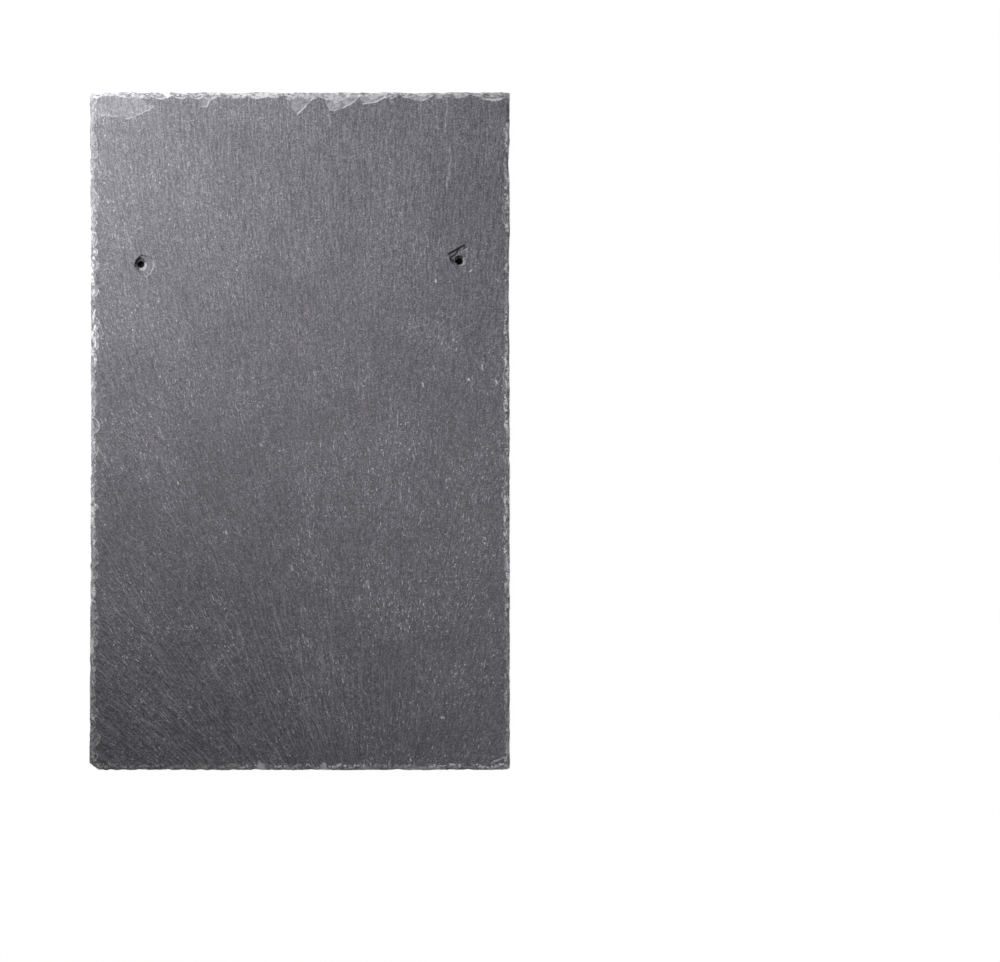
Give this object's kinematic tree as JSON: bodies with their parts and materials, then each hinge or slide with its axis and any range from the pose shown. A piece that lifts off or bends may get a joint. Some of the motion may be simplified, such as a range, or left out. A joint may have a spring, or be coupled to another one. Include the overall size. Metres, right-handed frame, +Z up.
{
  "type": "slate roof tile",
  "caption": "Flat rectangular slate roof tile, split along the cleavage, with chipped dressed edges and spalled nail holes near the head; laps and nails onto battens.",
  "frame": {"origin": "on the bed, under the middle of the tile's outline", "axes": "+X across the tile, +Y along it towards the head, which has the nail holes nearer to it, +Z up out of the dressed face"},
  "size_m": [0.25, 0.403, 0.0055],
  "materials": {
    "slate": "riven, satin, dark blue-grey, with pale bruised edges"
  },
  "bodies": {
    "root": {"slate_tile": "slate"}
  },
  "joints": []
}
